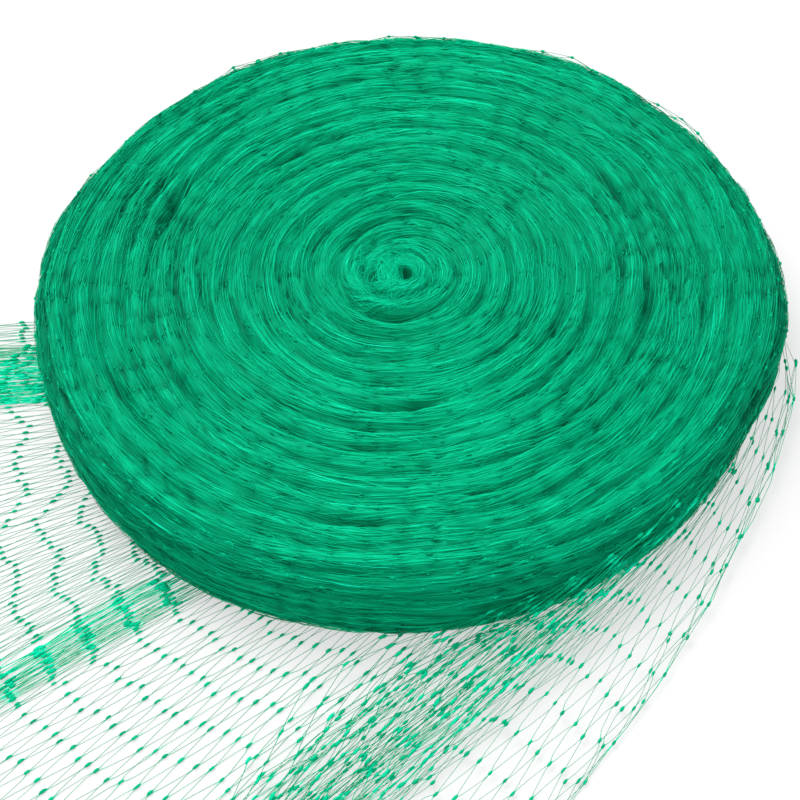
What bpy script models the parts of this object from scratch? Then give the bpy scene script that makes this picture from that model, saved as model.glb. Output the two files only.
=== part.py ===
"""Bird netting roll: a long strip of green diamond net, gathered into a loose rope and wound flat
into a disc, lying on its own loose end, which fans out from the rim over the surface.

Metres, +Z up. The origin is on the surface, under the centre of the winding. -Y is the front, where
the loose net shows, and +X is the side where it leaves the rim.
"""
from math import atan2, ceil, cos, degrees, dist, exp, hypot, pi, radians, sin, tau
from typing import NamedTuple

import bmesh
import bpy
from mathutils import Vector

MM = 0.001

# Driving sizes of the roll, in millimetres
ROLL_RADIUS = 115.0
ROLL_HEIGHT = 28.0
TURN_PITCH = 8.2
RIM_ROUNDING = 9.0
FOOT_ROUNDING = 5.0
VALLEY_DEPTH = 1.7
WAIST_DEPTH = 0.8
EYE_RADIUS = 2.5

# The valley between two turns passes +X this share of a pitch outside a whole number of pitches
VALLEY_OFFSET = 0.03
# A crease fades out over this many degrees past its ends
CREASE_FADE = 4.0

# The rim's section in degrees above and below its middle. Under 1, the power squares the section
RIM_TURNS = (60.0, 32.0, 8.0)
FOOT_TURNS = (28.0, 58.0, 90.0)
SECTION_POWER = 0.8
WAIST_BELOW_MIDDLE = 1.7

# Driving sizes of the net, in millimetres. Its diamonds are made at twice their real size
NET_THICKNESS = 1.0
REAL_BAR = 12.6
PITCH_SCALE = 2
CORD_WIDTH = 1.2
SMALLEST_GAP = 4.0
SHORTEST_LAST_BAR = 0.65
CLEARANCE = 0.3
REST_FACE_RADIUS = 24.0
PLEAT_HEIGHT = 2.2

# The net starts to rise this far past the rim, and is free to from there on
FREE_FROM = 0.8
FREE_AT = 6.5

# How finely the shapes are divided
STEPS_PER_TURN = 60
STRIPS_PER_TURN = 3
CURVE_STEPS = 60
MERGE_DISTANCE = 0.01

NET_GREEN = (0.0, 0.36, 0.17, 1.0)
PLEAT_GROUP = 0


class Bulge(NamedTuple):
    """How far the rim stands out of the round at a direction, counted from +X towards +Y."""
    direction: float
    outward: float


class Crease(NamedTuple):
    """A stretch of the valley between two turns that is pressed in deeper, by its number from the eye."""
    valley: int
    start: float
    end: float
    depth: float


class Dimple(NamedTuple):
    """A hollow where the doubled start of the rope closes round itself."""
    x: float
    y: float
    width: float
    depth: float


class Rib(NamedTuple):
    """One lengthwise cord of the loose net, by its column, as a curve through three points."""
    column: int
    start: tuple
    middle: tuple
    end: tuple
    pleated: float


BULGES = (
    Bulge(direction=-13.0, outward=1.8),
    Bulge(direction=12.0, outward=0.2),
    Bulge(direction=34.0, outward=-1.6),
    Bulge(direction=50.0, outward=0.0),
    Bulge(direction=75.0, outward=-0.6),
    Bulge(direction=120.0, outward=1.0),
    Bulge(direction=150.0, outward=-0.3),
    Bulge(direction=162.0, outward=0.8),
    Bulge(direction=200.0, outward=-1.0),
    Bulge(direction=235.0, outward=0.6),
    Bulge(direction=262.0, outward=-0.5),
    Bulge(direction=330.0, outward=-2.1),
    Bulge(direction=347.0, outward=1.8),
)

CREASES = (
    Crease(valley=3, start=108.0, end=144.0, depth=1.2),
    Crease(valley=3, start=228.0, end=288.0, depth=1.6),
    Crease(valley=4, start=300.0, end=348.0, depth=1.6),
    Crease(valley=7, start=191.0, end=218.0, depth=1.8),
    Crease(valley=7, start=262.0, end=283.0, depth=1.8),
    Crease(valley=8, start=117.0, end=129.0, depth=1.5),
    Crease(valley=9, start=12.0, end=38.0, depth=2.4),
    Crease(valley=10, start=338.0, end=352.0, depth=2.4),
    Crease(valley=10, start=150.0, end=162.0, depth=2.4),
    Crease(valley=10, start=201.0, end=219.0, depth=2.0),
    Crease(valley=10, start=78.0, end=88.0, depth=1.5),
    Crease(valley=11, start=96.0, end=108.0, depth=1.5),
    Crease(valley=12, start=202.0, end=210.0, depth=2.2),
    Crease(valley=12, start=250.0, end=268.0, depth=1.8),
)

DIMPLES = (
    Dimple(x=0.0, y=-0.5, width=2.6, depth=4.5),
    Dimple(x=-9.0, y=-1.5, width=2.4, depth=2.0),
)

# From the right selvedge to the edge under the back of the roll
RIBS = (
    Rib(column=0, start=(122, -18, 17), middle=(97, -72, 6.5), end=(33, -178, 0), pleated=0.0),
    Rib(column=20, start=(117, -25, 5), middle=(50, -112, 0.3), end=(-47, -178, 0), pleated=0.4),
    Rib(column=58, start=(106, -26, 0), middle=(26, -92, 0), end=(-68, -178, 0), pleated=1.0),
    Rib(column=80, start=(92, -26, 0), middle=(-26, -75, 0), end=(-150, -153, 0), pleated=0.0),
    Rib(column=94, start=(90, -21, 0), middle=(-32, -64, 0), end=(-150, -134, 0), pleated=1.0),
    Rib(column=110, start=(88, -16, 0), middle=(-34, -48, 0), end=(-150, -98, 0), pleated=0.0),
    Rib(column=146, start=(86, -9, 0), middle=(-32, -15, 0), end=(-150, -20, 0), pleated=0.2),
    Rib(column=170, start=(86, 2, 0), middle=(-32, 8, 0), end=(-150, 11, 0), pleated=1.0),
)

ROLL_BOTTOM = NET_THICKNESS + CLEARANCE
ROLL_TOP = ROLL_BOTTOM + ROLL_HEIGHT


def clear_scene():
    for obj in list(bpy.data.objects):
        bpy.data.objects.remove(obj, do_unlink=True)


def smooth_step(value):
    value = min(1.0, max(0.0, value))
    return value * value * (3.0 - 2.0 * value)


def make_material(name, color, roughness):
    material = bpy.data.materials.new(name)
    material.use_nodes = True
    shader = material.node_tree.nodes["Principled BSDF"]
    shader.inputs["Base Color"].default_value = color
    shader.inputs["Roughness"].default_value = roughness
    shader.inputs["Metallic"].default_value = 0.0
    return material


def add_part(collection, name, bm, material):
    bmesh.ops.scale(bm, vec=(MM, MM, MM), verts=bm.verts)
    mesh = bpy.data.meshes.new(name)
    bm.to_mesh(mesh)
    bm.free()
    part = bpy.data.objects.new(name, mesh)
    part.data.materials.append(material)
    collection.objects.link(part)
    return part


def rim_radius(angle):
    """The roll's radius in a direction, with its uneven bulges."""
    first = BULGES[0].direction
    degrees_round = (degrees(angle) - first) % 360.0 + first
    for low, high in zip(BULGES, BULGES[1:]):
        if degrees_round <= high.direction:
            share = (degrees_round - low.direction) / (high.direction - low.direction)
            return ROLL_RADIUS + low.outward + (high.outward - low.outward) * smooth_step(share)
    return ROLL_RADIUS + BULGES[-1].outward


def face_depth(radius, angle):
    """How far the roll's upper face lies below the crests of its turns."""
    phase = radius / TURN_PITCH + (angle % tau) / tau - VALLEY_OFFSET
    valley = round(phase)
    nearness = max(0.0, cos(pi * (phase - valley))) ** 2 * smooth_step(radius / TURN_PITCH)
    depth = VALLEY_DEPTH * nearness ** 2
    for crease in CREASES:
        if crease.valley == valley:
            middle = (crease.start + crease.end) / 2
            reach = (crease.end - crease.start) / 2 + CREASE_FADE
            share = abs(degrees(angle % tau) - middle) / reach
            depth += crease.depth * nearness ** 2 * (1.0 - smooth_step(share))
    for dimple in DIMPLES:
        away = hypot(radius * cos(angle) - dimple.x, radius * sin(angle) - dimple.y)
        depth += dimple.depth * exp(-(away / dimple.width) ** 2)
    return depth


def wind_face(bm):
    """The upper face: one long strip, laid clockwise from the eye so that each turn meets the last.

    It starts a turn early, where only the part beyond the eye is left of it.
    """
    turns = ceil(ROLL_RADIUS / TURN_PITCH) + 2
    snap = TURN_PITCH / STRIPS_PER_TURN / 3
    bmesh.ops.create_grid(
        bm, x_segments=turns * STEPS_PER_TURN, y_segments=STRIPS_PER_TURN, size=0.5)
    for vert in bm.verts:
        along = (vert.co.x + 0.5) * turns - 1.0
        across = vert.co.y + 0.5
        angle = -tau * round(along * STEPS_PER_TURN) / STEPS_PER_TURN
        radius = TURN_PITCH * (along + across + VALLEY_OFFSET)
        face_radius = rim_radius(angle) - RIM_ROUNDING
        if radius < EYE_RADIUS:
            radius = 0.0
        if radius > face_radius - snap:
            radius = face_radius
        height = ROLL_TOP - face_depth(radius, angle)
        vert.co = (radius * cos(angle), radius * sin(angle), height)
    bmesh.ops.remove_doubles(bm, verts=bm.verts, dist=MERGE_DISTANCE)
    bmesh.ops.dissolve_degenerate(bm, dist=MERGE_DISTANCE, edges=bm.edges)


def wall_profile():
    """The rim's rows from the upper face down to the foot: inset from the widest radius, and height."""
    half = ROLL_HEIGHT / 2
    middle = ROLL_BOTTOM + half
    rows = []
    for turn in RIM_TURNS:
        inset = RIM_ROUNDING * (1.0 - cos(radians(turn)) ** SECTION_POWER)
        rows.append((inset, middle + half * sin(radians(turn)) ** SECTION_POWER))
    rows.append((WAIST_DEPTH, middle - WAIST_BELOW_MIDDLE))
    for turn in FOOT_TURNS:
        inset = FOOT_ROUNDING * (1.0 - max(0.0, cos(radians(turn))) ** SECTION_POWER)
        rows.append((inset, middle - half * sin(radians(turn)) ** SECTION_POWER))
    return rows


def add_wall(bm):
    """Carries the face's edge round the rim and closes the flat underside."""
    loop_edges = [edge for edge in bm.edges if edge.is_boundary]
    for inset, height in wall_profile():
        extruded = bmesh.ops.extrude_edge_only(bm, edges=loop_edges)
        loop_edges = [item for item in extruded["geom"] if isinstance(item, bmesh.types.BMEdge)]
        ring = {vert for edge in loop_edges for vert in edge.verts}
        for vert in ring:
            angle = atan2(vert.co.y, vert.co.x)
            radius = rim_radius(angle) - inset
            vert.co = (radius * cos(angle), radius * sin(angle), height)
        loop_edges = [edge for edge in loop_edges if edge.is_boundary]
    bmesh.ops.holes_fill(bm, edges=loop_edges, sides=0)


def build_roll(collection, material):
    bm = bmesh.new()
    wind_face(bm)
    add_wall(bm)
    bmesh.ops.recalc_face_normals(bm, faces=bm.faces)
    roll = add_part(collection, "wound_roll", bm, material)
    roll.data.shade_smooth()
    return roll


def rib_point(rib, share):
    """A point of a rib, at a share of the way along it."""
    weights = ((1 - share) * (1 - 2 * share), 4 * share * (1 - share), share * (2 * share - 1))
    return [weights[0] * a + weights[1] * b + weights[2] * c
            for a, b, c in zip(rib.start, rib.middle, rib.end)]


def column_curve(column):
    """The lengthwise line of one column between the ribs on its two sides, and how pleated it is."""
    number = column * PITCH_SCALE
    index = max(k for k in range(len(RIBS) - 1) if RIBS[k].column <= number)
    low, high = RIBS[index], RIBS[index + 1]
    share = (number - low.column) / (high.column - low.column)
    points = []
    for step in range(CURVE_STEPS + 1):
        pair = zip(rib_point(low, step / CURVE_STEPS), rib_point(high, step / CURVE_STEPS))
        points.append([a + (b - a) * share for a, b in pair])
    return points, low.pleated + (high.pleated - low.pleated) * share


def point_at(points, length):
    """The point that lies a length along a line, or the line's end."""
    for start, end in zip(points, points[1:]):
        piece = dist(start, end)
        if length <= piece:
            return [a + (b - a) * length / piece for a, b in zip(start, end)]
        length -= piece
    return points[-1]


def free_of_roll(x, y):
    """How free the net is to rise: not at all under the roll, and fully a little way past its rim."""
    past_rim = hypot(x, y) - rim_radius(atan2(y, x))
    return smooth_step((past_rim - FREE_FROM) / (FREE_AT - FREE_FROM))


def net_rows():
    """Each column's points, a bar apart, from its start to its end: their places and how far raised."""
    bar = REAL_BAR * PITCH_SCALE
    columns = []
    for column in range(RIBS[-1].column // PITCH_SCALE + 1):
        curve, pleated = column_curve(column)
        total = sum(dist(a, b) for a, b in zip(curve, curve[1:]))
        rows = max(1, ceil(total / bar - SHORTEST_LAST_BAR))
        placed = []
        for x, y, z in [point_at(curve, row * bar) for row in range(rows)] + [curve[-1]]:
            free = free_of_roll(x, y)
            placed.append(((x, y, free * max(0.0, z)), free * pleated * (column % 2)))
        columns.append(placed)
    return columns


def gap_in(left, near, right, far):
    """The gap between four knots, as its width and its size as a share of the whole diamond."""
    length = dist(near.co, far.co)
    width = dist(left.co, right.co)
    share = 1.0 - CORD_WIDTH * hypot(length, width) / (length * width)
    return width * share, share


def weave_net(bm):
    """Joins the points into diamonds round every second one, and opens the wide ones.

    A point past its column's last row is that last one, and a point past the net's edge is None.
    An open diamond that the edge cuts in half is closed by a cord through its centre.
    """
    rows = net_rows()
    weights = bm.verts.layers.deform.verify()
    verts = {}

    def add_vert(place, raised):
        vert = bm.verts.new(place)
        vert[weights][PLEAT_GROUP] = raised
        return vert

    def point(column, row):
        if not 0 <= column < len(rows) or row < 0:
            return None
        key = (column, min(row, len(rows[column]) - 1))
        if key not in verts:
            verts[key] = add_vert(*rows[column][key[1]])
        return verts[key]

    def add_cords(ring, share):
        middle = sum((corner.co for corner in ring), Vector()) / len(ring)
        inner = [add_vert(middle.lerp(corner.co, share), corner[weights][PLEAT_GROUP])
                 for corner in ring]
        for k in range(len(ring)):
            bm.faces.new((ring[k - 1], ring[k], inner[k], inner[k - 1]))

    for column, places in enumerate(rows):
        last = len(places) - 1
        for row in range((column + 1) % 2, last + 1, 2):
            centre = point(column, row)
            corners = [point(column - 1, row), point(column, row - 1), point(column + 1, row),
                       point(column, row + 1) if row < last else None]
            ring = [centre if corner is None else corner for corner in corners]
            width, share = gap_in(*ring) if corners.count(None) < 2 else (0.0, 0.0)
            if width >= SMALLEST_GAP and hypot(*places[row][0][:2]) > REST_FACE_RADIUS:
                add_cords(ring, share)
                continue
            for start, end in zip(corners, corners[1:] + corners[:1]):
                if None not in (start, end):
                    bm.faces.new((centre, start, end))
    loose = [vert for vert in bm.verts if not vert.link_faces]
    bmesh.ops.delete(bm, geom=loose, context="VERTS")


def build_net(collection, material):
    """The loose net: a flat weave that is thickened first, and then raised along its pleats."""
    bm = bmesh.new()
    weave_net(bm)
    net = add_part(collection, "loose_net", bm, material)
    pleats = net.vertex_groups.new(name="pleats")
    shell = net.modifiers.new("Thickness", "SOLIDIFY")
    shell.thickness = NET_THICKNESS * MM
    shell.offset = 1.0
    raised = net.modifiers.new("Pleats", "DISPLACE")
    raised.direction = "Z"
    raised.vertex_group = pleats.name
    raised.mid_level = 0.0
    raised.strength = PLEAT_HEIGHT * MM
    return net


def main():
    clear_scene()
    collection = bpy.data.collections.new("bird_netting_roll")
    bpy.context.scene.collection.children.link(collection)
    net_green = make_material("green_net", NET_GREEN, 0.45)
    build_roll(collection, net_green)
    build_net(collection, net_green)


main()
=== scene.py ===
"""Looks of the bird netting roll: its threads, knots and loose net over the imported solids.

The part's lengths are in millimetres in the row frame, and become metres where its meshes are made.
The floor, the lights and the camera are in metres. The origin is on the surface, under the centre of
the winding, and -Y is the front.
"""
from math import cos, pi, radians, sin, tau
from typing import NamedTuple

import bpy
import numpy as np
from mathutils import Matrix, Vector

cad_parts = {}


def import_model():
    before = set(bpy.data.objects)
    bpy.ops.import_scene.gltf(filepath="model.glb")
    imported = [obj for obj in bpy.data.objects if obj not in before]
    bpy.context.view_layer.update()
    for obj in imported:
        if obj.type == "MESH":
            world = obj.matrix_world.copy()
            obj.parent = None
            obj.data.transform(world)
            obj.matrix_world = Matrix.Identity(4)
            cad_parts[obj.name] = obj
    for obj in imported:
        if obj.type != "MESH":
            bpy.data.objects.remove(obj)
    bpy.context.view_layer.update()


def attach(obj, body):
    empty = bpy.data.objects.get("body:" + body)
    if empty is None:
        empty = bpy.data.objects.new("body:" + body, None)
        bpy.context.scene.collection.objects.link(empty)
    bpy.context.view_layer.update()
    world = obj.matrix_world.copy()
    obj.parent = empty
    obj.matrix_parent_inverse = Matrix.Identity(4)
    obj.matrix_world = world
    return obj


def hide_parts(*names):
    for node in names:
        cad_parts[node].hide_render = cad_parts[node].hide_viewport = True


MM = 0.001
UP = np.array([0.0, 0.0, 1.0])
rng = np.random.default_rng(7)

# The roll, with the same driving sizes as its solid
ROLL_RADIUS = 115.0
ROLL_HEIGHT = 28.0
TURN_PITCH = 8.2
RIM_ROUNDING = 9.0
FOOT_ROUNDING = 5.0
VALLEY_DEPTH = 1.7
WAIST_DEPTH = 0.8
WAIST_BELOW_MIDDLE = 1.7
WAIST_REACH = 4.0
VALLEY_OFFSET = 0.03
CREASE_FADE = 4.0
SECTION_POWER = 0.8
ROLL_BOTTOM = 1.3

# Relief of the threads on the roll: they all lie sunk below the crests of the turns, and lower still at
# the back of the rim, on the rows of knots, between locks of thread and in short gaps
SUNK = 0.3
BACK_DROP = 1.5
BACK_FROM = 92.0
BACK_REACH = 20.0
PUFF_DEPTH = 0.3
LOCK_DEPTH = 0.25
GASH_DEPTH = 1.1

# The valleys on the underside have this share of the depth of those on the face
UNDERSIDE_SHARE = 0.4

# Tones run from 0, deep, to 1, bright. The rest is how much darker or brighter some places are
MIDDLE_TONE = 0.5
KNOT_ROW_TONE = 0.2
STREAK_TONE = 0.08
# Painted shade: how much darker the short gaps between locks of thread are, for the shade in them
GASH_PAINTED_SHADE = 0.3
# Painted shade: how much darker the threads are in the valleys between the turns
VALLEY_PAINTED_SHADE = 0.11
# Painted shade: how much darker the hollows of the eye are
EYE_PAINTED_SHADE = 0.35
# Painted shade and light: how much darker the left and right are, and how much lighter the front and back
SIDE_PAINTED_SHADE_AND_LIGHT = 0.08
# Painted shade: how much darker the wall is, as it is turned away from the light above
WALL_PAINTED_SHADE = 0.11
# Painted shade: how much darker the core is than the threads over it, as it lies in their shade
CORE_PAINTED_SHADE = 0.12

# The threads, and how far apart the rows of knots lie along the rope and along the loose net
THREAD_RADIUS = 0.12
LOOSE_RADIUS = 0.075
BAND_PITCH = 9.4
BAR = 12.6

# Corners round a thread, and the most that one turns round the eye in a step
THREAD_SIDES = 3
MOST_TURN = radians(9.0)

# Threads in each layer on the roll, and the layers' names with the least and the most of their lift
LAYER_THREADS = 3200
LAYERS = (("threads_low", -0.35, 0.0), ("threads_middle", -0.2, 0.15), ("threads_top", 0.0, 0.35))

# Places along a bar of the net, and how much it swells and brightens there towards its knots
BAR_SHARES = np.array([0.0, 0.1, 0.22, 0.78, 0.9, 1.0])
BAR_SWELL = np.array([2.4, 1.5, 1.0, 1.0, 1.5, 2.4])
BAR_BRIGHTER = np.array([0.4, 0.3, 0.0, 0.0, 0.3, 0.4])

# Rows of knots along the longest line of the loose net, with a few to spare
KNOT_ROWS = 26

# Columns this far apart leave their knots all the room that they can use
FULL_ROOM = 2.5

# In fully gathered net, how far knots bunch up and which way, how much higher they lie at most, and
# how much thicker its threads are and how much brighter, as painted light for light through them
BUNCHED = 1.3
BUNCHED_TOWARDS = np.array([0.5, -0.85])
GATHERED_RISE = 1.6
GATHERED_THICKER = 0.6
GATHERED_PAINTED_LIGHT = 0.47

# The selvedge's own thread is drawn as if the net were gathered this much
SELVEDGE_GATHERED = 0.3

# No knot's middle lies lower than this, so that none goes through the surface
LOWEST_KNOT = 0.58

# How far the net is from the roll's rim where it starts to rise, and where it is free to
FREE_FROM = 0.8
FREE_AT = 6.5

# The net that peels off comes out of the roll from this deep, over this many degrees of the rim, and
# then falls in a curve that is pulled this share of its way straight on
TUCKED = 0.8
COMES_OUT_OVER = 6.0
PULL = 0.35

# How far past the edge of the roll's face the lines of knots of its last wrap lie
RIM_LINES = np.array([1.0, 3.0, 5.0, 7.5, 10.5, 14.0, 18.0])
RIM_THREAD_RADIUS = 0.09
RIM_THREAD_TONE = 0.35

# The thread's colours, from deep to bright with their tones between, and the light that goes through
DEEP_GREEN = (0.0, 0.16, 0.075, 1.0)
MIDDLE_GREENS = ((0.5, (0.0, 0.48, 0.24, 1.0)), (0.75, (0.001, 0.66, 0.36, 1.0)))
BRIGHT_GREEN = (0.01, 0.95, 0.66, 1.0)
LET_THROUGH = 0.35

# The surface, in metres, and the room's light
FLOOR_HALF = 20.0
FLOOR_GREY = (0.27, 0.27, 0.27, 1.0)
FLOOR_GLOW = 0.55
ROOM_LIGHT = 1.25
WHITE = (1.0, 1.0, 1.0, 1.0)


class Bulge(NamedTuple):
    """How far the rim stands out of the round at a direction, counted from +X towards +Y."""
    direction: float
    outward: float


class Crease(NamedTuple):
    """A stretch of the valley between two turns that is pressed in deeper, by its number from the eye."""
    valley: int
    start: float
    end: float
    depth: float


class Dimple(NamedTuple):
    """A hollow where the doubled start of the rope closes round itself."""
    x: float
    y: float
    width: float
    depth: float


class Stretch(NamedTuple):
    """A stretch of the rim where net stands off it, by its middle and half its width in degrees."""
    direction: float
    reach: float
    outward: float


class Rib(NamedTuple):
    """One lengthwise line of the flat net, by its column of knots, as a curve through three points."""
    column: int
    start: tuple
    middle: tuple
    end: tuple
    pleated: float


class Peel(NamedTuple):
    """One lengthwise line of the net that leaves the rim, by its column of knots.

    It runs round the rim at a height, leaves it at a direction in degrees, where it stands off it, and
    ends on the surface.
    """
    column: int
    direction: float
    height: float
    off: float
    end_x: float
    pleated: float


class Fold(NamedTuple):
    """A further layer of the peeling net.

    Its lines leave the rim some degrees later and some way higher than the first layer's, and end
    swung to the right, or to the left where that is below 0. Its rows are shifted by a share of a bar.
    """
    name: str
    columns: range
    later: float
    higher: float
    swung: float
    shift: float
    jitter: float
    tone: float


BULGES = (
    Bulge(direction=-13.0, outward=1.8),
    Bulge(direction=12.0, outward=0.2),
    Bulge(direction=34.0, outward=-1.6),
    Bulge(direction=50.0, outward=0.0),
    Bulge(direction=75.0, outward=-0.6),
    Bulge(direction=120.0, outward=1.0),
    Bulge(direction=150.0, outward=-0.3),
    Bulge(direction=162.0, outward=0.8),
    Bulge(direction=200.0, outward=-1.0),
    Bulge(direction=235.0, outward=0.6),
    Bulge(direction=262.0, outward=-0.5),
    Bulge(direction=330.0, outward=-2.1),
    Bulge(direction=347.0, outward=1.8),
)

CREASES = (
    Crease(valley=3, start=108.0, end=144.0, depth=1.2),
    Crease(valley=3, start=228.0, end=288.0, depth=1.6),
    Crease(valley=4, start=300.0, end=348.0, depth=1.6),
    Crease(valley=7, start=191.0, end=218.0, depth=1.8),
    Crease(valley=7, start=262.0, end=283.0, depth=1.8),
    Crease(valley=8, start=117.0, end=129.0, depth=1.5),
    Crease(valley=9, start=12.0, end=38.0, depth=2.4),
    Crease(valley=10, start=338.0, end=352.0, depth=2.4),
    Crease(valley=10, start=150.0, end=162.0, depth=2.4),
    Crease(valley=10, start=201.0, end=219.0, depth=2.0),
    Crease(valley=10, start=78.0, end=88.0, depth=1.5),
    Crease(valley=11, start=96.0, end=108.0, depth=1.5),
    Crease(valley=12, start=202.0, end=210.0, depth=2.2),
    Crease(valley=12, start=250.0, end=268.0, depth=1.8),
)

DIMPLES = (
    Dimple(x=0.0, y=-0.5, width=2.6, depth=4.5),
    Dimple(x=-9.0, y=-1.5, width=2.4, depth=2.0),
)

# Where the last wrap of net stands off the rim
LOOSE_STRETCHES = (
    Stretch(direction=116.0, reach=14.0, outward=1.5),
    Stretch(direction=88.0, reach=12.0, outward=1.0),
    Stretch(direction=155.0, reach=6.0, outward=1.3),
    Stretch(direction=56.0, reach=12.0, outward=1.5),
    Stretch(direction=31.0, reach=12.0, outward=2.2),
)

# The net that peels off the rim, from the selvedge inwards: all its lines end at the front edge
PEELS = (
    Peel(column=0, direction=-14.0, height=9.0, off=4.5, end_x=23.0, pleated=0.0),
    Peel(column=8, direction=-28.0, height=13.0, off=2.0, end_x=-4.0, pleated=0.0),
    Peel(column=16, direction=-45.0, height=17.0, off=1.0, end_x=-31.0, pleated=0.2),
    Peel(column=21, direction=-48.0, height=18.0, off=0.9, end_x=-35.0, pleated=0.9),
    Peel(column=36, direction=-62.0, height=14.0, off=0.8, end_x=-52.0, pleated=0.4),
    Peel(column=50, direction=-80.0, height=5.0, off=0.8, end_x=-67.0, pleated=0.8),
)
FRONT_EDGE = -178.0

FOLDS = (
    Fold(name="upper_fold", columns=range(18, 50, 2), later=7.0, higher=5.0, swung=9.0,
         shift=0.3, jitter=0.6, tone=0.25),
    Fold(name="lower_fold", columns=range(16, 50, 2), later=0.0, higher=0.0, swung=-12.0,
         shift=0.6, jitter=0.6, tone=0.3),
    Fold(name="middle_fold", columns=range(21, 50, 2), later=14.0, higher=1.0, swung=0.0,
         shift=0.8, jitter=0.6, tone=0.2),
    Fold(name="rim_fold", columns=range(7, 18), later=9.0, higher=2.0, swung=-28.0,
         shift=0.4, jitter=0.5, tone=0.35),
)

# The net that comes out from under the roll, from the selvedge to its edge under the back of the roll
RIBS = (
    Rib(column=0, start=(106, -26, 0), middle=(34, -94, 0), end=(-56, -178, 0), pleated=0.4),
    Rib(column=42, start=(92, -26, 0), middle=(-26, -75, 0), end=(-150, -153, 0), pleated=0.0),
    Rib(column=48, start=(91, -24, 0), middle=(-27.5, -73, 0), end=(-150, -148.5, 0), pleated=0.6),
    Rib(column=86, start=(90, -22, 0), middle=(-31.5, -65, 0), end=(-150, -137, 0), pleated=1.0),
    Rib(column=92, start=(90, -21, 0), middle=(-32, -64, 0), end=(-150, -132.5, 0), pleated=0.2),
    Rib(column=120, start=(88, -16, 0), middle=(-34, -48, 0), end=(-150, -98, 0), pleated=0.0),
    Rib(column=174, start=(86, -9, 0), middle=(-32, -17, 0), end=(-150, -24, 0), pleated=0.0),
    Rib(column=176, start=(86, -8, 0), middle=(-32, -16, 0), end=(-150, -23, 0), pleated=1.0),
    Rib(column=222, start=(86, -5, 0), middle=(-32, -6.5, 0), end=(-150, -7, 0), pleated=1.0),
    Rib(column=242, start=(86, 0, 0), middle=(-32, 2, 0), end=(-150, 2, 0), pleated=0.3),
    Rib(column=258, start=(86, 4, 0), middle=(-32, 12, 0), end=(-150, 13, 0), pleated=0.0),
)

# Columns of the flat net with a second layer over them: the gathered band at its far edge
FAR_BAND = range(176, 242)


def smooth_step(value):
    """0 below 0 and 1 above 1, with a smooth rise between."""
    value = np.clip(value, 0.0, 1.0)
    return value * value * (3.0 - 2.0 * value)


def ripple(seed, x, y, waves=24):
    """A smooth random field of about -1 to 1, with features about 1 across. Each seed has its own."""
    own = np.random.default_rng(seed)
    turned = own.uniform(0, tau, waves)
    length = own.uniform(0.7, 1.6, waves)
    shift = own.uniform(0, tau, waves)
    total = np.zeros(np.broadcast(x, y).shape)
    for k in range(waves):
        total += np.sin(pi * (x * cos(turned[k]) + y * sin(turned[k])) / length[k] + shift[k])
    return total / np.sqrt(waves) * 0.8


def unit(vectors):
    """The vectors with a length of 1."""
    return vectors / np.maximum(np.linalg.norm(vectors, axis=-1, keepdims=True), 1e-9)


def near_ends(share, reach):
    """0 along a thread and 1 at its ends, which lie at shares of -0.5 and 0.5."""
    return 1.0 - smooth_step((0.5 - np.abs(share)) / reach)


def arch(share):
    """1 in the middle of a thread and 0 at its ends, which lie at shares of -0.5 and 0.5."""
    return 1.0 - 4.0 * share ** 2


def ahead_of(angle):
    """The level direction clockwise round the eye."""
    return np.stack([np.sin(angle), -np.cos(angle), 0 * angle], -1)


def outward_of(places):
    """The level direction away from the winding's axis."""
    return unit(places * np.array([1.0, 1.0, 0.0]))


def rim_radius(angle):
    """The roll's radius in a direction, with its uneven bulges."""
    directions = np.array([bulge.direction for bulge in BULGES] + [BULGES[0].direction + 360.0])
    outward = np.array([bulge.outward for bulge in BULGES] + [BULGES[0].outward])
    turned = (np.degrees(angle) - directions[0]) % 360.0 + directions[0]
    low = np.clip(np.searchsorted(directions, turned, side="right") - 1, 0, len(BULGES) - 1)
    share = (turned - directions[low]) / (directions[low + 1] - directions[low])
    return ROLL_RADIUS + outward[low] + (outward[low + 1] - outward[low]) * smooth_step(share)


def turn_phase(radius, angle):
    """Counts the turns outwards from the eye: whole numbers lie in the valleys between them."""
    return radius / TURN_PITCH + (angle % tau) / tau - VALLEY_OFFSET


def face_depth(radius, angle):
    """How far the roll's upper face lies below the crests of its turns."""
    phase = turn_phase(radius, angle)
    valley = np.round(phase)
    near = np.maximum(0.0, np.cos(pi * (phase - valley))) ** 2 * smooth_step(radius / TURN_PITCH)
    depth = VALLEY_DEPTH * near ** 2
    for crease in CREASES:
        middle = (crease.start + crease.end) / 2
        reach = (crease.end - crease.start) / 2 + CREASE_FADE
        share = np.abs(np.degrees(angle % tau) - middle) / reach
        pressed = crease.depth * near ** 2 * (1.0 - smooth_step(share))
        depth = depth + np.where(valley == crease.valley, pressed, 0.0)
    for dimple in DIMPLES:
        away = np.hypot(radius * np.cos(angle) - dimple.x, radius * np.sin(angle) - dimple.y)
        depth = depth + dimple.depth * np.exp(-(away / dimple.width) ** 2)
    return depth


def along_rope(section, angle):
    """The distance along the rope from its start, which grows clockwise round the eye."""
    turns = np.floor(turn_phase(section, angle)) + 0.5 - (angle % tau) / tau
    return pi * TURN_PITCH * turns * np.abs(turns)


def bands(section, angle):
    """Counts the rows of knots across the rope: they lie at whole numbers."""
    along = along_rope(section, angle)
    slipped = 0.35 * ripple(11, section / 9.0, along / 60.0)
    frayed = 0.12 * ripple(18, section / 1.6, along / 25.0)
    return along / BAND_PITCH + slipped + frayed


def on_knots(section, angle):
    """1 on a row of knots and 0 away from it."""
    return np.maximum(0.0, np.cos(tau * bands(section, angle))) ** 2


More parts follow.
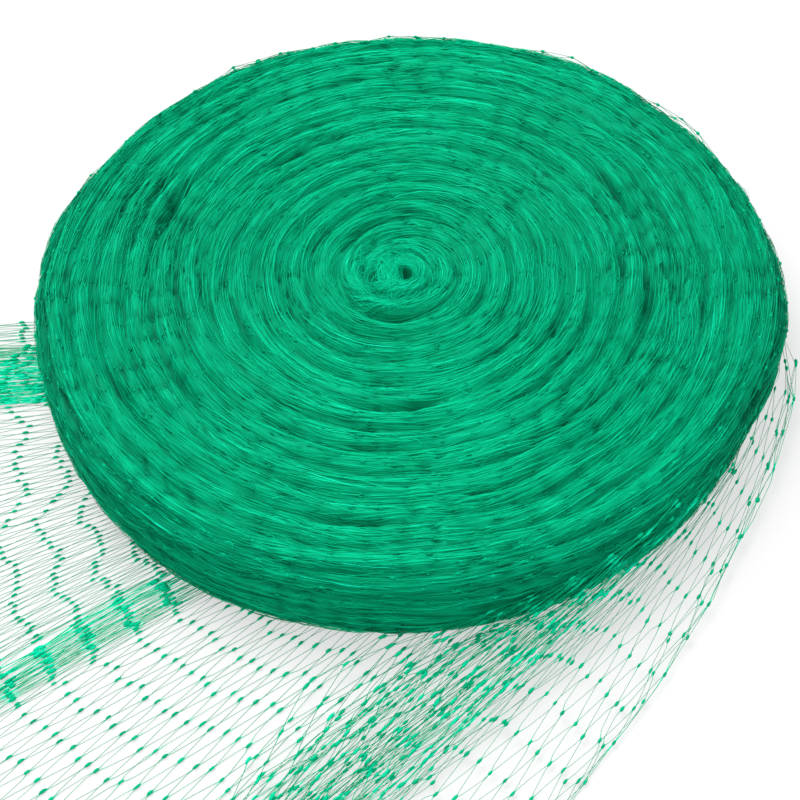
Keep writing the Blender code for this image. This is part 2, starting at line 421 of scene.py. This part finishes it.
def gashes(section, angle):
    """Short gaps between locks of thread, sunk and painted dark with shade: 1 in the middle of one."""
    along = along_rope(section, angle)
    x, y = section * np.cos(angle), section * np.sin(angle)
    crossed = ripple(16, section / 2.2, along / 13.0)
    strength = np.clip(0.6 + 0.8 * ripple(17, x / 20.0, y / 20.0), 0.0, 1.2)
    return strength * np.maximum(0.0, 1.0 - 3.5 * np.abs(crossed)) ** 2


def relief(section, angle):
    """How far the threads lie below the turns' crests: in uneven valleys, and low on the knots."""
    x, y = section * np.cos(angle), section * np.sin(angle)
    along = along_rope(section, angle)
    shifted = section + ripple(12, x / 20.0, y / 20.0) * smooth_step(section / 30.0)
    strength = 1.05 + 0.45 * ripple(13, x / 26.0, y / 26.0)
    patches = np.maximum(0.0, 0.6 + ripple(15, x / 24.0, y / 24.0))
    puffed = PUFF_DEPTH * on_knots(section, angle) * patches
    locks = LOCK_DEPTH * ripple(14, section / 1.8, along / 10.0)
    at_back = np.maximum(0.0, np.sin(angle)) * smooth_step((section - BACK_FROM) / BACK_REACH)
    uneven = SUNK + BACK_DROP * at_back + puffed + locks + GASH_DEPTH * gashes(section, angle)
    return face_depth(shifted, angle) * strength + uneven * smooth_step(section / 12.0)


def wall_section():
    """The rim's section from the upper face to the foot: distance along it, inset and height."""
    turn = np.radians(np.linspace(90.0, -90.0, 181))
    rounding = np.where(turn > 0, RIM_ROUNDING, FOOT_ROUNDING)
    inset = rounding * (1.0 - np.maximum(0.0, np.cos(turn)) ** SECTION_POWER)
    rise = np.sign(np.sin(turn)) * np.abs(np.sin(turn)) ** SECTION_POWER
    height = ROLL_BOTTOM + ROLL_HEIGHT / 2 * (1.0 + rise)
    waist = (height - ROLL_BOTTOM - ROLL_HEIGHT / 2 + WAIST_BELOW_MIDDLE) / WAIST_REACH
    inset = inset + WAIST_DEPTH * np.exp(-waist ** 2)
    along = np.concatenate([[0.0], np.cumsum(np.hypot(np.diff(inset), np.diff(height)))])
    return along, inset, height


WALL_ALONG, WALL_INSET, WALL_HEIGHT = wall_section()
WALL_LENGTH = WALL_ALONG[-1]


def on_roll(section, angle, lift=0.0):
    """Points on the roll and their outward normals.

    The section is the distance from the eye over the face, the rim and the wall to the foot.
    """
    edge = rim_radius(angle) - RIM_ROUNDING
    past = section - edge
    inset = np.interp(past, WALL_ALONG, WALL_INSET)
    radius = np.where(past < 0, section, edge + RIM_ROUNDING - inset)
    height = np.interp(past, WALL_ALONG, WALL_HEIGHT)
    grooves = relief(section, angle)
    step = 0.2
    before, after = past - step, past + step
    run = np.interp(after, WALL_ALONG, WALL_INSET) - np.interp(before, WALL_ALONG, WALL_INSET)
    drop = np.interp(before, WALL_ALONG, WALL_HEIGHT) - np.interp(after, WALL_ALONG, WALL_HEIGHT)
    outward = np.where(past < 0, 0.0, drop)
    upward = np.where(past < 0, 1.0, -run)
    size = np.maximum(np.hypot(outward, upward), 1e-9)
    outward, upward = outward / size, upward / size
    radius = radius + outward * (lift - grooves)
    height = height + upward * (lift - grooves)
    points = np.stack([radius * np.cos(angle), radius * np.sin(angle), height], -1)
    normals = np.stack([outward * np.cos(angle), outward * np.sin(angle), upward], -1)
    return points, normals


def add_mesh(name, verts, faces, material, tone):
    """One mesh whose faces have the same number of corners, with a tone at each vertex."""
    mesh = bpy.data.meshes.new(name)
    mesh.vertices.add(len(verts))
    mesh.vertices.foreach_set("co", (verts * MM).astype(np.float32).ravel())
    mesh.loops.add(faces.size)
    mesh.loops.foreach_set("vertex_index", faces.astype(np.int32).ravel())
    mesh.polygons.add(len(faces))
    mesh.polygons.foreach_set("loop_start", np.arange(0, faces.size, faces.shape[1], dtype=np.int32))
    mesh.update(calc_edges=True)
    layer = mesh.attributes.new("tone", "FLOAT", "POINT")
    layer.data.foreach_set("value", tone.astype(np.float32).ravel())
    mesh.shade_smooth()
    mesh.materials.append(material)
    piece = bpy.data.objects.new(name, mesh)
    bpy.context.scene.collection.objects.link(piece)
    return piece


def add_tubes(name, material, paths, radii, up, tone, closed=True):
    """One mesh of thin tubes along equally long paths. An open tube is only the upper side."""
    strands, points, _ = paths.shape
    along = unit(np.gradient(paths, axis=1))
    side = unit(np.cross(along, up))
    lift = np.cross(side, along)
    round_it = np.arange(THREAD_SIDES) * tau / THREAD_SIDES + pi / 2
    turns = round_it if closed else np.linspace(0, pi, THREAD_SIDES)
    ring = side[:, :, None] * np.cos(turns)[:, None] + lift[:, :, None] * np.sin(turns)[:, None]
    verts = paths[:, :, None] + radii[:, :, None, None] * ring
    index = np.arange(strands * points * THREAD_SIDES).reshape(strands, points, THREAD_SIDES)
    after = np.roll(index, -1, axis=2) if closed else index[:, :, 1:]
    here = index if closed else index[:, :, :-1]
    quads = np.stack([here[:, :-1], after[:, :-1], after[:, 1:], here[:, 1:]], -1)
    tones = np.repeat(tone.reshape(-1), THREAD_SIDES)
    return add_mesh(name, verts.reshape(-1, 3), quads.reshape(-1, 4), material, tones)


def add_ridges(name, material, section, angle, lift, radii, tone):
    """One mesh of threads on the roll, each a low ridge without an underside."""
    paths, normals = on_roll(section, angle, lift)
    return add_tubes(name, material, paths, radii, normals, tone, closed=False)


def add_knots(name, material, centres, along, up, length, width, tone, sides):
    """One mesh of small closed lumps, pointed at both ends."""
    side = unit(np.cross(along, up))
    lift = np.cross(side, along)
    turns = np.arange(sides) * tau / sides
    ring = side[:, None] * np.cos(turns)[:, None] + lift[:, None] * np.sin(turns)[:, None]
    rows = [centres[:, None] - along[:, None] * length[:, None, None]]
    for place in (-0.4, 0.4):
        rows.append(centres[:, None] + along[:, None] * (place * length)[:, None, None]
                    + ring * width[:, None, None])
    rows.append(centres[:, None] + along[:, None] * length[:, None, None])
    verts = np.concatenate(rows, axis=1)
    first = np.arange(sides)
    after = (first + 1) % sides
    low, high, top = 1 + first, 1 + sides + first, 1 + 2 * sides
    faces = np.concatenate([
        np.stack([np.zeros(sides, int), 1 + after, low], -1),
        np.stack([low, 1 + after, 1 + sides + after], -1),
        np.stack([low, 1 + sides + after, high], -1),
        np.stack([high, 1 + sides + after, np.full(sides, top)], -1),
    ])
    size = verts.shape[1]
    faces = faces[None] + (np.arange(len(centres)) * size)[:, None, None]
    return add_mesh(name, verts.reshape(-1, 3), faces.reshape(-1, 3), material, np.repeat(tone, size))


def thread_material():
    """The green plastic thread: its colour runs from deep to bright with the tone at each place."""
    material = bpy.data.materials.new("green_net")
    material.use_nodes = True
    nodes, links = material.node_tree.nodes, material.node_tree.links
    shader = nodes["Principled BSDF"]
    shader.inputs["Roughness"].default_value = 0.5
    shader.inputs["Specular IOR Level"].default_value = 0.03
    tone = nodes.new("ShaderNodeAttribute")
    tone.attribute_name = "tone"
    ramp = nodes.new("ShaderNodeValToRGB")
    stops = ramp.color_ramp.elements
    stops[0].color = DEEP_GREEN
    stops[1].color = BRIGHT_GREEN
    for place, color in MIDDLE_GREENS:
        stops.new(place).color = color
    links.new(tone.outputs["Fac"], ramp.inputs["Fac"])
    links.new(ramp.outputs["Color"], shader.inputs["Base Color"])
    through = nodes.new("ShaderNodeBsdfTranslucent")
    links.new(ramp.outputs["Color"], through.inputs["Color"])
    mixed = nodes.new("ShaderNodeMixShader")
    mixed.inputs["Fac"].default_value = LET_THROUGH
    links.new(shader.outputs["BSDF"], mixed.inputs[1])
    links.new(through.outputs["BSDF"], mixed.inputs[2])
    links.new(mixed.outputs["Shader"], nodes["Material Output"].inputs["Surface"])
    return material


def tone_at(section, angle):
    """The tone of a thread at a place on the roll.

    It is darker on the rows of knots, with streaks along the rope. Painted shade makes it darker in the
    valleys, in the gaps, in the hollows of the eye and on the wall, and darker at the left and right,
    with painted light at the front and back.
    """
    x, y = section * np.cos(angle), section * np.sin(angle)
    along = along_rope(section, angle)
    outer = 0.35 + 0.65 * smooth_step((section - 45.0) / 40.0)
    clear = np.maximum(0.0, 0.5 + 0.7 * ripple(21, x / 20.0, y / 20.0)) * outer
    streaks = ripple(23, section / 0.9, along / 9.0)
    fine = ripple(24, section / 0.35, along / 6.0)
    # Painted shade: darker in the hollows of the eye
    eye = sum(np.exp(-(np.hypot(x - hole.x, y - hole.y) / hole.width) ** 2) for hole in DIMPLES)
    banded = on_knots(section, angle) * clear
    # Painted shade: darker the deeper the valley between the turns
    deep = face_depth(section, angle) / VALLEY_DEPTH
    # Painted shade and light: darker at the left and right, lighter at the front and back
    sides = np.cos(2 * angle) * smooth_step(section / 60.0)
    # Painted shade: darker on the wall
    wall = smooth_step((section - ROLL_RADIUS + RIM_ROUNDING) / 6.0)
    bright = MIDDLE_TONE + STREAK_TONE * (streaks + fine)
    # Painted shade: the gaps between locks are darkened for the shade that falls in them
    dark = KNOT_ROW_TONE * banded + GASH_PAINTED_SHADE * gashes(section, angle) + VALLEY_PAINTED_SHADE * deep
    return bright - dark - EYE_PAINTED_SHADE * eye - SIDE_PAINTED_SHADE_AND_LIGHT * sides - WALL_PAINTED_SHADE * wall


def build_core(material):
    """The roll's closed surface, a little below its threads, and painted darker than them as shade."""
    steps, face_rings, wall_rings, under_rings = 300, 100, 40, 55
    angle = np.linspace(0, tau, steps, endpoint=False)[None]
    edge = rim_radius(angle) - RIM_ROUNDING
    inmost = 0.02
    face = np.linspace(0.0, 1.0, face_rings)[:, None] * (edge - inmost) + inmost
    wall = np.linspace(0.0, 1.0, wall_rings + 1)[1:, None] * WALL_LENGTH + edge
    section = np.concatenate([face, wall])
    angle = angle + 0 * section
    points, _ = on_roll(section, angle, lift=-0.4)
    inwards = np.linspace(1.0, 0.001, under_rings)[:, None]
    below = points[-1:] * inwards[..., None]
    under = np.hypot(below[..., 0], below[..., 1])
    turned = angle[:1] + 0 * under
    valleys = UNDERSIDE_SHARE * face_depth(under, turned) * (1.0 - inwards ** 8)
    below[..., 2] = ROLL_BOTTOM + valleys
    points = np.concatenate([points, below])
    # Painted shade: the core is darker than the threads over it
    tone = np.concatenate([tone_at(section, angle), tone_at(under, turned)]) - CORE_PAINTED_SHADE
    index = np.arange(len(points) * steps).reshape(-1, steps)
    after = np.roll(index, -1, axis=1)
    quads = np.stack([index[:-1], index[1:], after[1:], after[:-1]], -1).reshape(-1, 4)
    return add_mesh("roll_core", points.reshape(-1, 3), quads, material, tone)


def thread_step(section, step):
    """How far a thread turns round the eye from one of its points to the next."""
    return np.minimum(step / np.minimum(section, ROLL_RADIUS), MOST_TURN)


def random_sections(count, step, first=8.0):
    """Random places across the section for threads, which lie as thick near the eye as at the rim."""
    grid = np.linspace(first, ROLL_RADIUS - RIM_ROUNDING + WALL_LENGTH - 1.0, 2000)
    weight = np.cumsum(1.0 / thread_step(grid, step))
    return np.interp(rng.uniform(0, weight[-1], count), weight, grid)


def shares_along(points):
    """Shares of the way along a thread at its points, from -0.5 to 0.5."""
    return np.linspace(-0.5, 0.5, points)[None]


def tapered_radii(count, ends):
    """Radii of threads that grow thin towards their ends."""
    return rng.uniform(0.7, 1.2, (count, 1)) * THREAD_RADIUS * (1.0 - 0.6 * ends)


def even_radii(low, high, count, points):
    """Radii of fibres that are as thick all along."""
    return np.repeat(rng.uniform(low, high, (count, 1)), points, axis=1)


def build_threads(name, material, count, low, high, step=2.8, points=11):
    """Threads that run along the rope, each a low ridge, dipping into the roll at both ends."""
    section = random_sections(count, step)
    start = rng.uniform(0, tau, count)
    share = shares_along(points)
    turn = (thread_step(section, step) * (points - 1))[:, None]
    angle = start[:, None] + share * turn
    on_face = section < ROLL_RADIUS - RIM_ROUNDING
    spiral = np.where(on_face, -TURN_PITCH / tau, 0.0)[:, None]
    x, y = section * np.cos(start), section * np.sin(start)
    lean = 2.2 * ripple(31, x / 13.0, y / 13.0) + rng.normal(0, 1.1, count)
    bow = 0.4 * ripple(32, x / 13.0, y / 13.0) + rng.normal(0, 0.2, count)
    calm = np.minimum(1.0, section / 25.0) * np.where(on_face, 1.0, 0.35)
    sideways = (lean * calm)[:, None] * share + (bow * calm)[:, None] * arch(share)
    placed = section[:, None] + spiral * share * turn + sideways
    ends = near_ends(share, reach=0.25)
    lift = rng.uniform(low, high, (count, 1)) - 0.6 * ends
    radii = tapered_radii(count, ends)
    # Painted shade: threads that lie lower are darker, and those on top lighter
    tone = tone_at(placed, angle) + rng.normal(0, 0.11, (count, 1)) + 0.15 * lift
    return add_ridges(name, material, placed, angle, lift, radii, tone)


def build_eye(material, count=1500, points=12, step=0.8):
    """The doubled start of the rope: threads that loop round one or both hollows of the eye."""
    holes = np.array([(hole.x, hole.y) for hole in DIMPLES])
    middle = holes.mean(axis=0)
    away = 13.0 * np.sqrt(rng.uniform(0, 1, count))
    turned = rng.uniform(0, tau, count)
    place = middle + np.stack([away * np.cos(turned), away * np.sin(turned)], -1)
    path = [place]
    twist = rng.normal(0, 0.3, count)
    for _ in range(points - 1):
        apart = path[-1][:, None] - holes
        square = np.maximum((apart ** 2).sum(-1), 0.3)
        outward = (apart / square[..., None]).sum(1)
        heading = np.arctan2(outward[:, 1], outward[:, 0]) - pi / 2 + twist
        path.append(path[-1] + step * np.stack([np.cos(heading), np.sin(heading)], -1))
        twist = twist * 0.9
    path = np.stack(path, axis=1)
    clear = np.array([hole.width for hole in DIMPLES]) * 0.9
    apart = np.linalg.norm(path[:, :, None] - holes, axis=-1)
    path = path[(apart > clear).all(axis=(1, 2))]
    count = len(path)
    section = np.hypot(path[..., 0], path[..., 1])
    angle = np.arctan2(path[..., 1], path[..., 0])
    share = shares_along(points)
    ends = near_ends(share, reach=0.25)
    lift = rng.uniform(-0.3, 0.5, (count, 1)) - 0.5 * ends
    radii = tapered_radii(count, ends)
    # Painted shade: threads that lie lower are darker, and those on top lighter
    tone = tone_at(section, angle) + rng.normal(0, 0.1, (count, 1)) + 0.2 * lift
    return add_ridges("eye_threads", material, section, angle, lift, radii, tone)


def build_fuzz(material, count=1600, points=7):
    """Stray fibres that cross the others on the roll's face."""
    section = random_sections(count, 4.0)
    start = rng.uniform(0, tau, count)
    length = rng.uniform(5.0, 14.0, count)
    lean = rng.normal(0, radians(11.0), count)
    share = shares_along(points)
    bow = rng.normal(0, 0.06, count) * length
    placed = section[:, None] + (length * np.sin(lean))[:, None] * share + bow[:, None] * arch(share)
    angle = start[:, None] + (length * np.cos(lean) / np.minimum(section, ROLL_RADIUS))[:, None] * share
    lift = rng.uniform(0.15, 0.55, (count, 1)) - 0.4 * near_ends(share, reach=0.3)
    radii = even_radii(0.05, 0.09, count, points)
    # Painted highlight: the fibres, which lie on top, are lighter than the threads beneath
    tone = tone_at(placed, angle) + rng.uniform(0.0, 0.28, (count, 1))
    return add_ridges("stray_fibres", material, placed, angle, lift, radii, tone)


def build_eye_fibres(material, count=170, points=7):
    """Light fibres that cross between the two hollows of the eye."""
    middle = np.stack([rng.normal(-4.2, 1.4, count), rng.normal(-0.5, 2.2, count)], -1)
    heading = rng.normal(pi / 2, radians(28.0), count)
    length = rng.uniform(3.0, 8.0, count)
    share = shares_along(points)
    forward = length[:, None] * share
    sideways = (rng.normal(0, 0.25, count) * length)[:, None] * arch(share)
    x = middle[:, :1] + np.cos(heading)[:, None] * forward - np.sin(heading)[:, None] * sideways
    y = middle[:, 1:] + np.sin(heading)[:, None] * forward + np.cos(heading)[:, None] * sideways
    lift = rng.uniform(0.3, 0.9, (count, 1)) - 0.7 * near_ends(share, reach=0.3)
    radii = even_radii(0.06, 0.11, count, points)
    tone = np.broadcast_to(rng.uniform(0.45, 0.8, (count, 1)), radii.shape)
    return add_ridges("eye_fibres", material, np.hypot(x, y), np.arctan2(y, x), lift, radii, tone)


def build_roll_knots(material, count=4000):
    """Knots among the threads, in rows across the rope."""
    section = random_sections(count, 4.0, first=12.0)
    angle = rng.uniform(0, tau, count)
    number = bands(section, angle)
    slip = (number - np.round(number)) * BAND_PITCH + rng.normal(0, 0.8, count)
    angle = angle + slip / np.minimum(section, ROLL_RADIUS)
    centres, normals = on_roll(section, angle, rng.uniform(-0.4, 0.05, count))
    tone = rng.uniform(0.25, 0.45, count)
    length = rng.uniform(0.6, 1.1, count)
    width = rng.uniform(0.2, 0.36, count)
    return add_knots("roll_knots", material, centres, ahead_of(angle), normals, length, width, tone,
                     sides=4)


def rib_points(rib, share):
    """Points of a rib, at shares of the way along it."""
    start, middle, end = (np.array(place, float) for place in (rib.start, rib.middle, rib.end))
    share = share[:, None]
    return (start * (1 - share) * (1 - 2 * share) + middle * 4 * share * (1 - share)
            + end * share * (2 * share - 1))


def free_of_roll(x, y):
    """How free the net is to rise: not at all under the roll, and fully a little way past its rim."""
    past_rim = np.hypot(x, y) - rim_radius(np.arctan2(y, x))
    return smooth_step((past_rim - FREE_FROM) / (FREE_AT - FREE_FROM))


def rib_line(column):
    """The fine line of one column of the flat net, how gathered it is there, and that none is hidden."""
    index = max(k for k in range(len(RIBS) - 1) if RIBS[k].column <= column)
    low, high = RIBS[index], RIBS[index + 1]
    share = (column - low.column) / (high.column - low.column)
    along = np.linspace(0.0, 1.0, 200)
    line = rib_points(low, along) * (1 - share) + rib_points(high, along) * share
    return line, low.pleated + (high.pleated - low.pleated) * share, 0.0


def peel_line(column, later=0.0, higher=0.0, swung=0.0):
    """The fine line of one column that leaves the rim, how gathered it is, and how much is hidden."""
    columns = [peel.column for peel in PEELS]
    direction, height, off, end_x, pleated = (
        np.interp(column, columns, [peel[k] for peel in PEELS]) for k in range(1, 6))
    height = height + higher
    rim_steps, fall_steps = 80, 160
    angle = np.radians(np.linspace(0.0, direction - later, rim_steps))
    shown = ROLL_RADIUS * radians(COMES_OUT_OVER)
    hidden = ROLL_RADIUS * -angle[-1] - shown
    out = smooth_step(1.0 - ROLL_RADIUS * (angle - angle[-1]) / shown)
    radius = rim_radius(angle) - TUCKED + (off + TUCKED) * out
    rim = np.stack([radius * np.cos(angle), radius * np.sin(angle), np.full(rim_steps, height)], -1)
    end = np.array([end_x + swung, FRONT_EDGE, 0.0])
    pull = rim[-1] + PULL * np.linalg.norm((end - rim[-1])[:2]) * ahead_of(angle[-1])
    pull[2] = PULL * height
    share = np.linspace(0.0, 1.0, fall_steps)[1:, None]
    fall = rim[-1] * (1 - share) ** 2 + pull * 2 * share * (1 - share) + end * share ** 2
    return np.concatenate([rim, fall]), pleated, hidden


def net_knots(lines, shift, jitter, aside):
    """Each column's knots, a bar apart along its line, in wavy rows.

    The result is their places, which of them exist, how gathered each column is, and how much room
    there is round each knot.
    """
    rows = np.arange(KNOT_ROWS)
    number = np.arange(len(lines))
    gathered = np.array([pleated for _, pleated, _ in lines])
    zigzag = 0.35 * (1.0 - 0.6 * gathered) * ripple(42, number / 9.0, shift)
    wave = 0.7 * ripple(41, number / 40.0, shift) + zigzag
    places = np.zeros((len(lines), KNOT_ROWS, 3))
    exists = np.zeros((len(lines), KNOT_ROWS), bool)
    for k, (line, _, hidden) in enumerate(lines):
        walked = np.concatenate([[0.0], np.cumsum(np.linalg.norm(np.diff(line, axis=0), axis=1))])
        slip = rng.normal(0, 0.7 + 0.2 * gathered[k], KNOT_ROWS)
        wanted = (rows + wave[k] + shift) * BAR + slip
        exists[k] = (wanted > hidden) & (wanted < walked[-1])
        for axis in range(3):
            places[k, :, axis] = np.interp(wanted, walked, line[:, axis])
    across = np.linalg.norm(np.gradient(places[..., :2], axis=0), axis=-1)
    room = np.clip(across / FULL_ROOM, 0.3, 1.0)
    moved = rng.normal(0, jitter, places[..., :2].shape) * room[..., None]
    bunched = BUNCHED * gathered[:, None] * ripple(43, number[:, None] / 2.5, rows / 5.0)
    places[..., :2] += moved + bunched[..., None] * BUNCHED_TOWARDS + np.array(aside)
    rise = gathered[:, None] * rng.uniform(0.0, GATHERED_RISE, exists.shape)
    places[..., 2] += 2 * LOOSE_RADIUS + rise * free_of_roll(places[..., 0], places[..., 1])
    return places, exists, gathered, room


def bar_threads(name, material, starts, ends, thick, tone, up, slack):
    """Threads from knot to knot that swell towards their ends, a little slack."""
    share = BAR_SHARES[None, :, None]
    bowed = 4 * share * (1 - share) * slack[:, None]
    paths = starts[:, None] * (1 - share) + ends[:, None] * share + bowed
    radii = BAR_SWELL * thick[:, None]
    paths[..., 2] = np.maximum(paths[..., 2], radii)
    tones = tone[:, None] + BAR_BRIGHTER
    return add_tubes(name, material, paths, radii, np.broadcast_to(up[:, None], paths.shape), tones)


def net_bars(places, exists, gathered, room, column, row):
    """Ties each knot to two in the next column, a row up and a row down.

    Each part of the result is the starts and ends of bars, how gathered the net is there and how much
    room there is.
    """
    count, rows = exists.shape
    bars = []
    for down in (-1, 1):
        beside, near = column + 1, row + down
        inside = (beside < count) & (near >= 0) & (near < rows)
        kept = inside.copy()
        kept[inside] = exists[beside[inside], near[inside]]
        here, there = (column[kept], row[kept]), (beside[kept], near[kept])
        bars.append((places[here], places[there], gathered[column[kept]], room[here]))
    return bars


def selvedge_bars(places, exists, column, row):
    """The doubled thread at the net's edge, from each knot of the first column to its next one."""
    edge = (column == 0) & (row + 2 < exists.shape[1])
    edge[edge] = exists[0, row[edge] + 2]
    low = row[edge]
    drawn, room = np.full(len(low), SELVEDGE_GATHERED), np.ones(len(low))
    return [(places[0, low], places[0, low + 2], drawn, room)] * 2


def build_net(name, material, lines, shift=0.0, jitter=0.35, aside=(0.0, 0.0), tone=0.45,
              selvedge=False):
    """Diamonds of thread, and the knots that tie them."""
    places, exists, gathered, room = net_knots(lines, shift, jitter, aside)
    column, row = np.nonzero(exists)
    tied = (column + row) % 2 == 0
    column, row = column[tied], row[tied]
    bars = net_bars(places, exists, gathered, room, column, row)
    if selvedge:
        bars += selvedge_bars(places, exists, column, row)
    starts, ends, drawn, loose = (np.concatenate(part) for part in zip(*bars))
    slack = rng.normal(0, 0.7, starts.shape) * np.array([1.0, 1.0, 0.3]) * loose[:, None]
    up = np.broadcast_to(UP, starts.shape)
    thick = LOOSE_RADIUS * (1.0 + GATHERED_THICKER * drawn)
    # Painted light: gathered threads are brighter for the light that passes through them
    tones = tone + GATHERED_PAINTED_LIGHT * drawn
    threads = bar_threads(name, material, starts, ends, thick, tones, up, slack)

    centres = places[column, row]
    before = places[column, np.maximum(row - 1, 0)]
    after = places[column, np.minimum(row + 1, KNOT_ROWS - 1)]
    centres[:, 2] = np.maximum(centres[:, 2], LOWEST_KNOT)
    up = np.broadcast_to(UP, centres.shape)
    small = 0.85 + 0.15 * room[column, row]
    length = rng.uniform(0.9, 1.3, len(centres)) * small * (1.0 + 0.6 * gathered[column])
    width = rng.uniform(0.38, 0.52, len(centres)) * small * (1.0 + 0.1 * gathered[column])
    # Painted light: knots are brighter where the net is gathered
    shade = rng.uniform(0.4, 0.65, len(centres)) + 0.25 * gathered[column]
    knots = add_knots(name + "_knots", material, centres, unit(after - before), up, length, width, shade,
                      sides=5)
    return threads, knots


def build_rim_net(material):
    """The last thin wrap of net, which stands off the rim in some stretches."""
    count, steps = len(RIM_LINES), 2 * round(tau * ROLL_RADIUS / BAND_PITCH / 2)
    angle = np.arange(steps) * tau / steps + rng.normal(0, 0.008, (count, steps))
    loose = np.full(angle.shape, 0.1)
    for stretch in LOOSE_STRETCHES:
        off = (np.degrees(angle) - stretch.direction + 180.0) % 360.0 - 180.0
        loose = loose + stretch.outward * (1.0 - smooth_step(np.abs(off) / stretch.reach))
    section = rim_radius(angle) - RIM_ROUNDING + RIM_LINES[:, None] + rng.normal(0, 0.5, angle.shape)
    places, _ = on_roll(section, angle, loose + rng.uniform(0, 0.2, angle.shape))
    line, step = np.nonzero((np.arange(count)[:, None] + np.arange(steps)) % 2 == 0)
    below = line + 1 < count
    starts = [places[line[below], step[below]]] * 2
    ends = [places[line[below] + 1, (step[below] + ahead) % steps] for ahead in (-1, 1)]
    on_edge = (line == 0) | (line == count - 1)
    starts.append(places[line[on_edge], step[on_edge]])
    ends.append(places[line[on_edge], (step[on_edge] + 2) % steps])
    starts, ends = np.concatenate(starts), np.concatenate(ends)
    outward = outward_of(starts + ends)
    reach = np.linalg.norm(ends - starts, axis=1, keepdims=True)
    bowed = 0.15 * outward + outward * (reach ** 2 / (8 * ROLL_RADIUS))
    thick = np.full(len(starts), RIM_THREAD_RADIUS)
    tone = np.full(len(starts), RIM_THREAD_TONE)
    threads = bar_threads("rim_threads", material, starts, ends, thick, tone, outward, bowed)

    centres = places[line, step]
    tone = rng.uniform(0.35, 0.55, len(centres))
    size = rng.uniform(0.4, 0.55, len(centres))
    knots = add_knots("rim_knots", material, centres, ahead_of(angle[line, step]), outward_of(centres),
                      size * 1.7, size, tone, sides=5)
    return threads, knots


def build_floor():
    """A white surface far wider than the view."""
    material = bpy.data.materials.new("white_surface")
    material.use_nodes = True
    shader = material.node_tree.nodes["Principled BSDF"]
    shader.inputs["Base Color"].default_value = FLOOR_GREY
    shader.inputs["Emission Color"].default_value = WHITE
    shader.inputs["Emission Strength"].default_value = FLOOR_GLOW
    shader.inputs["Roughness"].default_value = 0.9
    shader.inputs["Specular IOR Level"].default_value = 0.0
    mesh = bpy.data.meshes.new("floor")
    corners = [(x * FLOOR_HALF, y * FLOOR_HALF, 0) for x, y in ((-1, -1), (1, -1), (1, 1), (-1, 1))]
    mesh.from_pydata(corners, [], [(0, 1, 2, 3)])
    mesh.materials.append(material)
    floor = bpy.data.objects.new("floor", mesh)
    bpy.context.scene.collection.objects.link(floor)
    return floor


def aim(obj, place, target):
    """Puts a light at a place, so that it shines on the target."""
    obj.location = place
    obj.rotation_mode = "QUATERNION"
    obj.rotation_quaternion = (Vector(target) - Vector(place)).to_track_quat("-Z", "Y")


def build_lights():
    """A bright even room with a soft light above, a little behind and to the left."""
    world = bpy.data.worlds.new("white_room")
    world.use_nodes = True
    background = world.node_tree.nodes["Background"]
    background.inputs["Color"].default_value = WHITE
    background.inputs["Strength"].default_value = ROOM_LIGHT
    bpy.context.scene.world = world
    light = bpy.data.lights.new("soft_box", "AREA")
    light.shape = "DISK"
    light.size = 0.9
    light.energy = 14.0
    lamp = bpy.data.objects.new("soft_box", light)
    aim(lamp, place=(-0.35, 0.45, 1.1), target=(0.0, 0.0, 0.0))
    bpy.context.scene.collection.objects.link(lamp)


def build_camera():
    """The camera, fitted to the outline of the roll and its eye."""
    elevation = radians(51.754)
    distance = 0.52834
    roll = radians(-3.268)
    target = Vector((-0.00358, -0.03865, 0.014))
    back = Vector((0.0, -cos(elevation), sin(elevation)))
    level = Vector((0.0, 0.0, 1.0)).cross(back).normalized()
    upright = back.cross(level)
    right = level * cos(roll) + upright * sin(roll)
    top = upright * cos(roll) - level * sin(roll)
    data = bpy.data.cameras.new("camera")
    data.lens = 80.0
    data.clip_start = 0.01
    camera = bpy.data.objects.new("camera", data)
    placed = Matrix((right, top, back)).transposed().to_4x4()
    placed.translation = target + back * distance
    camera.matrix_world = placed
    bpy.context.scene.collection.objects.link(camera)
    bpy.context.scene.camera = camera


def build_roll(material):
    """Everything that lies on the roll's core."""
    return [
        *[build_threads(name, material, LAYER_THREADS, low, high) for name, low, high in LAYERS],
        build_eye(material),
        build_fuzz(material),
        build_eye_fibres(material),
        build_roll_knots(material),
        *build_rim_net(material),
    ]


def build_folds(material):
    """The further layers of the net that peels off the rim."""
    pieces = []
    for fold in FOLDS:
        lines = [peel_line(column, fold.later, fold.higher, fold.swung) for column in fold.columns]
        pieces += build_net(fold.name, material, lines, fold.shift, fold.jitter, tone=fold.tone)
    return pieces


def build_loose_net(material):
    """The loose net: its flat part first, the net that peels off the rim, its folds and the far band."""
    flat = [rib_line(column) for column in range(RIBS[-1].column)]
    peeled = [peel_line(column) for column in range(PEELS[-1].column)]
    band = [rib_line(column + 0.5) for column in FAR_BAND]
    return [
        *build_net("loose_net_threads", material, flat),
        *build_net("peeled_net", material, peeled, selvedge=True),
        *build_net("selvedge_fold", material, peeled[:3], shift=0.5, aside=(-1.0, -0.5)),
        *build_folds(material),
        *build_net("far_band", material, band, shift=0.3, jitter=0.5, tone=0.5),
    ]


def main():
    """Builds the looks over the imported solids, and the set round them."""
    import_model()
    material = thread_material()
    core = build_core(material)
    roll = build_roll(material)
    net = build_loose_net(material)
    for piece in [core, *roll, *net]:
        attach(piece, "root")
    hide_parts("wound_roll")
    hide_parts("loose_net")
    build_floor()
    build_lights()
    build_camera()
    bpy.context.scene.view_settings.view_transform = "Standard"


main()
